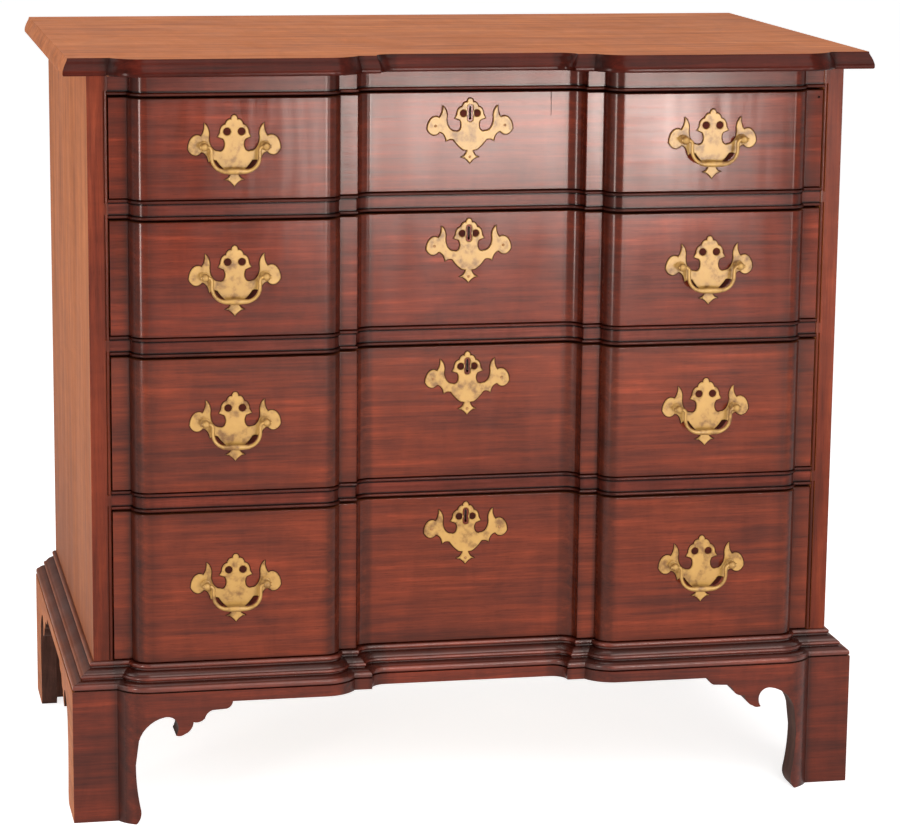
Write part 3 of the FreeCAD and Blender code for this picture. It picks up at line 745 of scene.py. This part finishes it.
def dress_sides():
    """Side boards, with a bead and quirk on the stile beside every drawer."""
    groove = opening_half + 2 * bead_radius
    bottom = quirk_depth + bead_radius
    rear = case_depth - back_thickness
    behind = [(case_half, case_depth), (opening_half + back_rabbet, case_depth)]
    behind += [(opening_half + back_rabbet, rear), (opening_half, rear)]
    beaded = arc((opening_half + bead_radius, bead_radius), bead_radius, 180, 360)
    beaded += [(groove, bottom), (groove + quirk_width, bottom), (groove + quirk_width, 0)]
    half = arc_steps // 2
    plain = [(opening_half, depth) for _, depth in beaded[:half]] + [(x, 0) for x, _ in beaded[half:]]
    levels = [(foot_height, plain)]
    for number in (4, 3, 2, 1):
        low, high = opening(number)
        low = max(low - 2 * bead_radius - quirk_width, base_top)
        high += 2 * bead_radius + quirk_width
        levels += [(low, plain), (low, beaded), (high, beaded), (high, plain)]
    levels.append((case_top, plain))
    right = []
    for z, corner in levels:
        right.append(ring_at(z, behind + corner + [(case_half, 0)]))
    left = [mirrored(ring) for ring in right]
    for side, rings in (("right", right), ("left", left)):
        board = loft(rings)
        bmesh.ops.remove_doubles(board, verts=board.verts, dist=tiny)
        dress("side_" + side, board, [side_wood, stile_wood])


def bead_levels(edge, rise):
    """Bead and quirk at an edge of a blade, going up (rise 1) or down (rise -1) from it."""
    bead = arc((bead_radius, bead_radius), bead_radius, 270, 90, bend_steps)
    levels = [(edge + rise * h, -d) for d, h in bead]
    end = edge + rise * 2 * bead_radius
    far = end + rise * quirk_width
    bottom = -bead_radius - quirk_depth
    return levels + [(end, bottom), (far, bottom), (far, -bead_radius)]


def bolt_mortise(number):
    """Room for the lock bolt of a drawer, also when it is thrown."""
    low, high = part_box("lock_bolt_" + number)
    room = Vector([bolt_clearance] * 3)
    return loft(block(low - room, high + room + Vector((0, 0, bolt_throw))))


def dress_blades():
    """Drawer blades beaded at both edges, and the top rail beaded below, with mortises for the bolts."""
    names = ("drawer_blade_1", "drawer_blade_2", "drawer_blade_3", "top_front_rail")
    for name, drawer_below in zip(names, "2341"):
        low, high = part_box(name)
        levels = bead_levels(low.z, 1)
        if name == "top_front_rail":
            levels.append((high.z, -bead_radius))
        else:
            levels += bead_levels(high.z, -1)[::-1]
        rings = []
        for z, offset in levels:
            rings.append(blocked_ring(offset, [(opening_half, -offset), (opening_half, blade_depth)], z))
        finish = rail_wood if name == "top_front_rail" else blade_wood
        dress(name, combine(loft(rings), "DIFFERENCE", bolt_mortise(drawer_below)), [finish])


# ------------ base
# Profile of the base moulding from its top: depth and reach in mm. Longer runs are arcs.
base_start = (0.0, 1.6)
base_runs = (
    ((2.5, 3.5), (5.2, 2.0)),
    ((6.6, 2.0),),
    ((8.8, 6.6), (12.2, 9.4)),
    ((14.6, 11.6), (16.6, 10.2)),
    ((17.6, 10.2),),
    ((18.4, 13.6), (20.4, 16.2)),
    ((21.6, 18.0), (23.4, 18.6)),
    ((25.6, 18.6),),
    ((26.6, 18.2), (27.0, 17.2)),
    ((28.0, 16.6),),
)


def base_corner(share):
    """Right front corner of the base where it stands out by a share of its reach."""
    return (case_half + share * base_side_reach, -share * base_front_reach)


def dress_base_moulding():
    """Front length notched round the side boards, and two side lengths mitred to it."""
    front = []
    side = []
    for down, reach in run_points(base_start, base_runs)[::-1]:
        share = reach * mm / base_front_reach
        z = base_top - down * mm
        corner = base_corner(share)
        ends = [corner, (case_half, 0), (opening_half, 0), (opening_half, base_board_depth)]
        front.append(blocked_ring(share * base_front_reach, ends, z))
        points = [(case_half, 0), corner, (corner[0], case_depth), (case_half, case_depth)]
        side.append(ring_at(z, points))
    dress("base_moulding_front", loft(front), [base_wood])
    dress("base_moulding_sides", loft(side, [mirrored(ring) for ring in side]), [side_base_wood])


# Lower edge of a bracket's wing, in shares of its reach from the ankle and of its drop.
wing_runs = (
    ((0.98, 0.14), (0.937, 0.223)),
    ((0.797, 0.246),),
    ((0.739, 0.335), (0.71, 0.49)),
    ((0.667, 0.58), (0.592, 0.592)),
    ((0.56, 0.83), (0.5, 0.95), (0.455, 1.0), (0.412, 0.98)),
    ((0.432, 0.85), (0.435, 0.67), (0.395, 0.47), (0.3, 0.4)),
    ((0.141, 0.615), (0.032, 1.12)),
)


def bracket_outline(point):
    """Outline of a bracket; point(s, z) places a point s from the foot's corner."""
    line = fascia_low.z
    knee = (foot_width + knee_flare, (ankle_height + toe_height) / 2)
    toe = (foot_width + toe_flare, toe_height)
    sole = (foot_width + sole_flare, toe_height / 2)
    runs = [[(foot_width + s * wing_reach, line - d * wing_drop) for s, d in run] for run in wing_runs]
    spots = [(0, 0), (0, foot_height), (wing_length, foot_height)]
    spots += run_points((wing_length, line), runs)
    spots += run_points((foot_width, ankle_height), [[knee, toe, sole, (foot_width, 0)]])
    return [point(s, z) for s, z in spots]


def dress_feet():
    """Front feet cut from blocked boards, and the side brackets mitred to them."""
    corner = base_corner(1)
    front = -block_proud - base_front_reach - cut_margin
    elevation = bracket_outline(lambda s, z: place(corner[0] - s, front, z))
    mitre = bracket_back - corner[1]
    ends = [corner, (corner[0] - mitre, bracket_back), (opening_half, recess_depth)]
    for side in ("left", "right"):
        outline = mirrored(elevation) if side == "left" else elevation
        sawn = loft(prism(outline, Vector((0, bracket_back - front, 0))))
        rings = [blocked_ring(base_front_reach, ends, z) for z in (0, foot_height)]
        board = combine(sawn, "INTERSECT", loft(rings))
        dress("foot_front_" + side, board, [unpolished_shaded_wood, foot_wood], front=not_sawn)

    inner = corner[0] - side_bracket_thickness
    outer = Vector((side_bracket_thickness, 0, 0))
    waste = [(corner[0] + cut_margin, corner[1] - cut_margin), (inner - cut_margin, corner[1] - cut_margin)]
    waste.append((inner - cut_margin, corner[1] + side_bracket_thickness + cut_margin))
    wedge = ring_at(-cut_margin, waste)
    rise = Vector((0, 0, foot_height + 2 * cut_margin))
    mitres = loft(prism(wedge, rise), prism(mirrored(wedge), rise))
    front_board = bracket_outline(lambda s, z: place(inner, corner[1] + s, z))
    rear_board = bracket_outline(lambda s, z: place(inner, case_depth - s, z))
    boards = []
    for outline in (front_board, rear_board):
        boards += [prism(outline, outer), prism(mirrored(outline), -outer)]
    dress("foot_side_brackets", combine(loft(*boards), "DIFFERENCE", mitres), [side_foot_wood, unpolished_shaded_wood])


def dress_fascia():
    """Plain strips between the wings, the front one following the blocking."""
    corner = base_corner(1)
    end = corner[0] - wing_length
    front = [(x, depth) for x, depth in half_outline(base_front_reach) if x < end]
    front += [(end, front[-1][1]), (end, fascia_back)]
    ring = front + [(-x, depth) for x, depth in front[::-1]]
    rise = Vector((0, 0, foot_height - fascia_low.z))
    strip = prism(ring_at(fascia_low.z, ring), rise)
    low = place(corner[0] - side_bracket_thickness, corner[1] + wing_length, fascia_low.z)
    high = place(corner[0], case_depth - wing_length, foot_height)
    side = block(low, high)
    strips = loft(strip, side, [mirrored(ring) for ring in side])
    dress("base_fascia", strips, [side_foot_wood, foot_wood], front=in_front)


# ------------ drawers
def keyhole_outline(tip, width):
    """Round-ended slot below the tip of an escutcheon, as (x, z) points."""
    radius = width / 2
    middle = tip - keyhole_drop - keyhole_height / 2
    reach = (keyhole_height - keyhole_width) / 2
    return arc((0, middle + reach), radius, 0, 180) + arc((0, middle - reach), radius, 180, 360)


def scoop_outline(z):
    """Hollow behind the right convex block, with round ends, at a height."""
    deep = front_back - scoop_depth
    left = block_inner + block_proud
    right = block_outer - block_proud
    points = [(left, front_back + cut_margin)]
    points += arc((left + scoop_radius, deep + scoop_radius), scoop_radius, 180, 270)
    points += arc((right - scoop_radius, deep + scoop_radius), scoop_radius, 270, 360)
    points.append((right, front_back + cut_margin))
    return ring_at(z, points)


# Outline of the crack, in mm from its place on the edge of the front.
crack_outline = ((-0.5, -0.8), (0.5, -0.8), (0.7, -10), (0.6, -24), (0.1, -27), (-0.1, -12))


def shrinkage_crack(top):
    """Thin crack down from the upper edge of the topmost front."""
    face = recess_depth + front_set_back - cut_margin
    outline = [place(crack_place + x * mm, face, top + z * mm) for x, z in crack_outline]
    return loft(prism(outline, Vector((0, crack_depth + cut_margin, 0))))


def nail_hole():
    """Old nail hole near the upper right corner of the topmost front."""
    x, z = old_nail_place
    profile = [(cut_margin, old_nail_radius), (-old_nail_depth, old_nail_radius)]
    return loft(lathe(profile, place(x, front_set_back, z), turned_steps // 2))


def dress_front(number, opening_top, material):
    """Drawer front with eased edges, cut for what it holds and hollowed behind its blocks."""
    body = "drawer_" + number
    low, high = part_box(body + "_front")
    ease = arc((arris, arris), arris, 180, 270, corner_steps)
    levels = [(low.z + rise, -depth) for depth, rise in ease[::-1]]
    levels += [(high.z - rise, -depth) for depth, rise in ease]
    rings = []
    for z, offset in levels:
        ends = [(high.x, front_set_back - offset), (high.x, front_back)]
        rings.append(blocked_ring(offset - front_set_back, ends, z))
    hollow = scoop_outline(low.z + scoop_floor)
    rise = Vector((0, 0, high.z - low.z))
    slot_points = keyhole_outline(opening_top - escutcheon_drop, key_slot_width)
    depth = front_back + cut_margin
    cuts = [
        loft(prism(hollow, rise), prism(mirrored(hollow), rise)),
        loft(prism([place(x, 0, z) for x, z in slot_points], Vector((0, depth, 0)))),
        copy_of(body + "_sides"),
        copy_of(body + "_bottom"),
        copy_of("lock_" + number),
    ]
    if number == "1":
        cuts += [shrinkage_crack(high.z), nail_hole()]
    solid = combine(loft(rings), "DIFFERENCE", *cuts)
    dress(body + "_front", solid, [raw_wood, material], body, front=not_level)


# ------------ brasses
# Right half of the plate's outline in shares of the half width and of the height, about the middle of
# the line of the posts.
plate_start = (0.0, 0.43)
plate_runs = (
    ((0.05, 0.415), (0.07, 0.37)),
    ((0.15, 0.355), (0.19, 0.30)),
    ((0.28, 0.26), (0.31, 0.18)),
    ((0.36, 0.125),),
    ((0.24, 0.095),),
    ((0.215, -0.02), (0.34, -0.07), (0.49, -0.01), (0.53, 0.17)),
    ((0.56, 0.255), (0.64, 0.32)),
    ((0.65, 0.22), (0.71, 0.14)),
    ((0.93, 0.1), (0.99, -0.04), (0.89, -0.12), (0.7, -0.085)),
    ((0.6, -0.13), (0.55, -0.23)),
    ((0.47, -0.2), (0.38, -0.205)),
    ((0.28, -0.29), (0.16, -0.36)),
    ((0.07, -0.37),),
    ((0.11, -0.43), (0.22, -0.47)),
    ((0.09, -0.505), (0.0, -0.57)),
)
plate_tip = plate_start[1]
eye_place = (0.155, 0.20)
eye_radius = 0.04  # share of the width
lobe_place = (0.8, 0.01)
finial_place = (0.0, -0.47)


def grown(points, reach):
    """Clockwise outline moved outwards."""
    moved = []
    for before, (x, y), after in zip(points[-1:] + points, points, points[1:] + points[:1]):
        along = Vector((after[0] - before[0], after[1] - before[1])).normalized()
        moved.append((x - along.y * reach, y + along.x * reach))
    return moved


def flat_piece(outlines, x, back, z, thickness, chamfer=0.0):
    """Upright flat piece with chamfered edges. Outlines that lie in others are holes."""
    curve = bpy.data.curves.new("work", "CURVE")
    curve.dimensions = "2D"
    curve.fill_mode = "BOTH"
    curve.bevel_depth = chamfer
    curve.bevel_resolution = 0
    curve.offset = -chamfer
    curve.extrude = thickness / 2 - chamfer
    for points in outlines:
        spline = curve.splines.new("POLY")
        spline.points.add(len(points) - 1)
        for spot, point in zip(spline.points, points):
            spot.co = (*point, 0, 1)
        spline.use_cyclic_u = True
    maker = bpy.data.objects.new("work", curve)
    mesh = bpy.data.meshes.new_from_object(maker)
    bpy.data.objects.remove(maker)
    upright = Matrix.Rotation(math.pi / 2, 4, "X")
    mesh.transform(Matrix.Translation(place(x, back - thickness / 2, z)) @ upright)
    return mesh


def pierced_plate(width, height, *spot, holes=()):
    """Chamfered bat-wing plate with two eyes and other holes, and the thin dark layer of old polish and
    painted contact shadow that shows round it and in its eyes; spot is x, rear face, z."""
    right = run_points(plate_start, plate_runs)
    shares = right + [(-s, t) for s, t in right[-2:0:-1]]
    outline = [(s * width / 2, t * height) for s, t in shares]
    eyes = []
    for sign in (-1, 1):
        eye = (sign * eye_place[0] * width / 2, eye_place[1] * height)
        eyes.append(arc(eye, eye_radius * width, 0, 360, eye_steps)[:-1])
    plate = flat_piece([outline, *eyes, *holes], *spot, plate_thickness, plate_chamfer)
    return plate, flat_piece([grown(outline, polish_and_shadow_rim), *holes], *spot, polish_and_shadow_thickness)


def bail_shadows(*spot):
    """Painted shadow of a hanging bail: dark crescents inside its lower corners."""
    first, last = bail_shadow_ends
    centre = (bail_half_width - bail_corner, bail_corner - bail_drop)
    mark = arc(centre, bail_corner, first, last) + arc(centre, bail_corner - bail_shadow_width, last, first)
    return flat_piece([[(-u, v) for u, v in mark], mark], *spot, polish_and_shadow_thickness)


# Turned forms, as mm in front of their seat and radius in mm.
post_neck = (
    (-1, 2.2), (0, 5.2), (0.8, 5.2), (1.3, 4.7), (1.5, 3.9), (2.2, 3.7), (2.8, 2.9), (4.2, 2.2),
)
pin_profile = ((-0.5, 1.1), (0.0, 1.5), (0.45, 1.3), (0.7, 0.4))
head_profile = ((0.5, 0.7), (0, 1), (-0.4, 0.9), (-0.8, 0.3))  # with shares of the head's radius


def scaled(profile):
    return [(reach * mm, radius * mm) for reach, radius in profile]


def post_profile():
    """Turned post: shank through the front, collar, neck and ball head."""
    profile = [
        (-shank_length, shank_tip),
        (shank_tip - shank_length, shank_radius - shank_chamfer),
        (shank_shoulder - shank_length, shank_radius),
    ]
    profile += scaled(post_neck)
    ball = arc((0, 0), ball_radius, 30, 180, bend_steps)
    return profile + [(post_stand - ball_depth * u, max(v, ball_tip)) for u, v in ball]


def bail_path(x, depth, z, reach):
    """Line of a bail from one post to the other, and the radii of its section."""
    half = bail_half_width
    low = z - bail_drop
    right = [(reach, z)] + arc((half + bail_turn, z - bail_turn), bail_turn, 90, 180, 6)
    right += arc((half - bail_corner, low + bail_corner), bail_corner, 0, -90, bend_steps)
    right += [(half * share, low) for share in (0.3, 0.2, 0.1)]
    path = [place(x + s, depth, h) for s, h in right] + [place(x, depth, low)]
    path += [place(x - s, depth, h) for s, h in right[::-1]]
    radii = []
    for point in path:
        share = max(0.0, 1 - abs(point.x - x) / (grip_share * half))
        grow = bail_swell * math.sin(share * math.pi / 2) ** 2
        radii.append((bail_radius + grow, bail_radius + grip_depth * grow))
    return path, radii


def nut(x, depth, z):
    """Square nut with worn corners on a post inside the drawer."""
    half = nut_size / math.sqrt(2)
    worn = half - nut_wear
    profile = [(0, worn), (-nut_edge, half), (nut_edge - nut_thickness, half), (-nut_thickness, worn)]
    return lathe(profile, place(x, depth, z), 4)


def dress_heads(name, body, rear, columns, rows, radius):
    """Domed heads of screws or nails on a rear face, where columns and rows cross."""
    profile = [(reach * mm, share * radius) for reach, share in head_profile]
    heads = [lathe(profile, Vector((x, rear, z)), head_steps) for x in columns for z in rows]
    show(name, loft(*heads), body, "iron", [iron])


def dress_lock(number):
    """Four screws that hold the lock."""
    low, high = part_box("lock_" + number)
    columns = (low.x + screw_inset, high.x - screw_inset)
    rows = (low.z + screw_inset, high.z - screw_inset)
    dress_heads("lock_screws_" + number, "drawer_" + number, high.y, columns, rows, screw_radius)


def dress_back():
    """Nails that hold the back boards."""
    low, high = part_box("back_boards")
    column = opening_half + back_rabbet / 2
    rows = [low.z + (high.z - low.z) * (row + 0.5) / nail_rows for row in range(nail_rows)]
    dress_heads("back_nails", "case", high.y, (-column, column), rows, nail_radius)


def dress_escutcheon(opening_top):
    """Plate of the escutcheon, the old polish and painted contact shadow round it, and its pins."""
    tip = opening_top - escutcheon_drop
    line = tip - plate_tip * escutcheon_height
    keyhole = [(x, z - line) for x, z in keyhole_outline(tip, keyhole_width)]
    spot = (escutcheon_width, escutcheon_height, 0, recess_depth + front_set_back, line)
    pins = []
    for sign, (x, z) in ((-1, lobe_place), (1, lobe_place), (0, finial_place)):
        side = sign * x * escutcheon_width / 2
        middle = place(side, spot[3] - plate_thickness, line + z * escutcheon_height)
        pins.append(lathe(scaled(pin_profile), middle, tube_steps))
    return pierced_plate(*spot, holes=[keyhole]), pins


def dress_brasses(number, opening_top):
    """Plates, posts, bails and pins of one drawer."""
    body = "drawer_" + number
    block_face = front_set_back - block_proud
    face = block_face - plate_thickness
    # The dark layers gathered here are old polish with painted contact shadow round the plates, and the
    # bails' painted shadows.
    (plate, polish), pins = dress_escutcheon(opening_top)
    plates = [plate]
    grime_and_shadow = [polish]
    posts = []
    nuts = []
    for side in ("left", "right"):
        name = "bail_" + number + "_" + side
        low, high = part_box(name)
        x = (low.x + high.x) / 2
        reach = (high.x - low.x) / 2
        z = high.z - bail_radius
        plate, polish = pierced_plate(plate_width, plate_height, x, block_face, z)
        plates.append(plate)
        grime_and_shadow += [polish, bail_shadows(x, block_face, z)]
        for post in (x - reach + post_inset, x + reach - post_inset):
            posts.append(lathe(post_profile(), place(post, face, z)))
            nuts.append(nut(post, front_back - scoop_depth, z))
        bar = tube(*bail_path(x, face - post_stand, z, reach))
        dress(name, loft(bar), [brass], name, "brass", sharp=60)
    dress("brass_plates_" + number, joined(plates), [brass], body, "brass")
    dress("pull_posts_" + number, loft(*posts), [brass], body, "brass")
    show("post_nuts_" + number, loft(*nuts), body, "brass", [dull_brass])
    show("escutcheon_pins_" + number, loft(*pins), body, "brass", [dull_brass])
    show("old_polish_and_shadow_" + number, joined(grime_and_shadow), body, "mahogany", [grime_and_shadow_wood])


# ------------ stage
floor_half = 20  # metres
floor_glow = 0.78  # that a straight ray adds to the floor's own light, to make it white
sky_light = 0.28  # radiance of the surroundings for other rays


def dress_stage():
    """Pale floor that keeps the object's shadow, and white surroundings."""
    sheet = bmesh.new()
    bmesh.ops.create_grid(sheet, x_segments=8, y_segments=8, size=floor_half)
    floor = in_scene("floor", mesh_of("floor", sheet))
    material, tree, shader, _ = new_material("floor")
    feed(shader, {
        "Base Color": rgb(232, 232, 232),
        "Roughness": 0.9,
        "Specular IOR Level": 0.0,
        "Emission Color": grey(1),
        "Emission Strength": math_node(tree, "MULTIPLY", seen_straight(tree), floor_glow),
    })
    floor.data.materials.append(material)

    world = bpy.data.worlds.new("studio")
    bpy.context.scene.world = world
    world.use_nodes = True
    tree = world.node_tree
    strength = remap(tree, seen_straight(tree), (0.0, 1.0), (sky_light, 1.0))
    feed(tree.nodes["Background"], {"Color": grey(1), "Strength": strength})


def lamp(name, position, target, width, height, brightness):
    """Rectangular softbox; brightness is the radiance of its face."""
    light = bpy.data.lights.new("softbox_" + name, "AREA")
    light.shape = "RECTANGLE"
    light.size = width
    light.size_y = height
    light.energy = brightness * math.pi * width * height
    made = in_scene(light.name, light)
    made.location = position
    made.rotation_euler = (Vector(target) - Vector(position)).to_track_quat("-Z", "Y").to_euler()


def dress_camera():
    """Camera of the photograph: place, angles in radians and lens."""
    position = (-0.6967, -3.5048, 1.1144)
    yaw, pitch, roll = 0.2033, 0.2043, 0.0103
    focal_pixels = 3193.15
    image_width = 900
    data = bpy.data.cameras.new("camera")
    data.sensor_width = 36
    data.lens = data.sensor_width * focal_pixels / image_width
    camera = in_scene("camera", data)
    axes = Matrix.Identity(4)
    for angle, axis in ((-yaw, "Z"), (math.pi / 2 - pitch, "X"), (roll, "Z")):
        axes = axes @ Matrix.Rotation(angle, 4, axis)
    camera.matrix_world = Matrix.Translation(position) @ axes
    bpy.context.scene.camera = camera


# Softboxes: name, place, target, width and height in metres, and radiance.
softboxes = (
    ("front", (0.8, -3.7, 0.41), (0.0, -0.2, 0.6), 0.92, 0.46, 27.0),
    ("core", (1.12, -3.68, 0.46), (0.0, -0.2, 0.6), 0.18, 0.36, 28.0),
    ("high", (0.9, -3.0, 2.8), (0.0, -0.2, 0.4), 2.6, 2.0, 3.5),
    ("left", (-2.5, -2.4, 0.5), (-0.2, -0.2, 0.5), 0.45, 0.9, 26.0),
    ("side", (-3.2, 0.0, 2.0), (-0.3, 0.0, 0.5), 1.6, 1.4, 2.35),
    ("right", (1.95, -3.3, 0.5), (0.2, -0.2, 0.5), 0.6, 0.8, 9.0),
    ("above", (-0.5, 0.2, 3.0), (0.0, 0.0, 0.8), 2.6, 2.0, 1.45),
)
dress_camera()
dress_stage()
for softbox in softboxes:
    lamp(*softbox)

dress_top()
dress_sides()
dress_blades()
dress_base_moulding()
dress_feet()
dress_fascia()
# The back brackets and base blocks under the case take the unpolished wood darkened as painted shade.
kept = {
    "back_boards": back_pine, "bottom_board": pine, "top_back_rail": pine, "drawer_runners": pine_deep,
    "drawer_stops": pine, "foot_back_brackets": unpolished_shaded_wood, "base_blocks": unpolished_shaded_wood,
}
front_colours = (red_mahogany, red_mahogany, warm_mahogany, warm_mahogany)
front_stops = shade_and_polish_stops(-front_set_back)
for index, colours in enumerate(front_colours, 1):
    number = str(index)
    opening_top = opening(index)[1]
    start = (0.37 * index, 0.21, 0.13 * index)  # each front shows its own part of the figure
    figure = wood(
        "mahogany_front_" + number, "X", colours, start, 26, 0.12, 0.22, (0.08, 0.2),
        blocked=front_stops, edges=front_edges, ripple=0.35 * mm,
    )
    dress_front(number, opening_top, figure)
    dress_brasses(number, opening_top)
    dress_lock(number)
    body = "drawer_" + number
    kept.update({body + "_sides": pine_deep, body + "_back": pine, body + "_bottom": pine})
    kept.update({"lock_" + number: iron, "lock_bolt_" + number: iron})
dress_back()
for node, material in kept.items():
    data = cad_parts[node].data
    data.materials.clear()
    data.materials.append(material)

bpy.context.scene.view_settings.view_transform = "Standard"
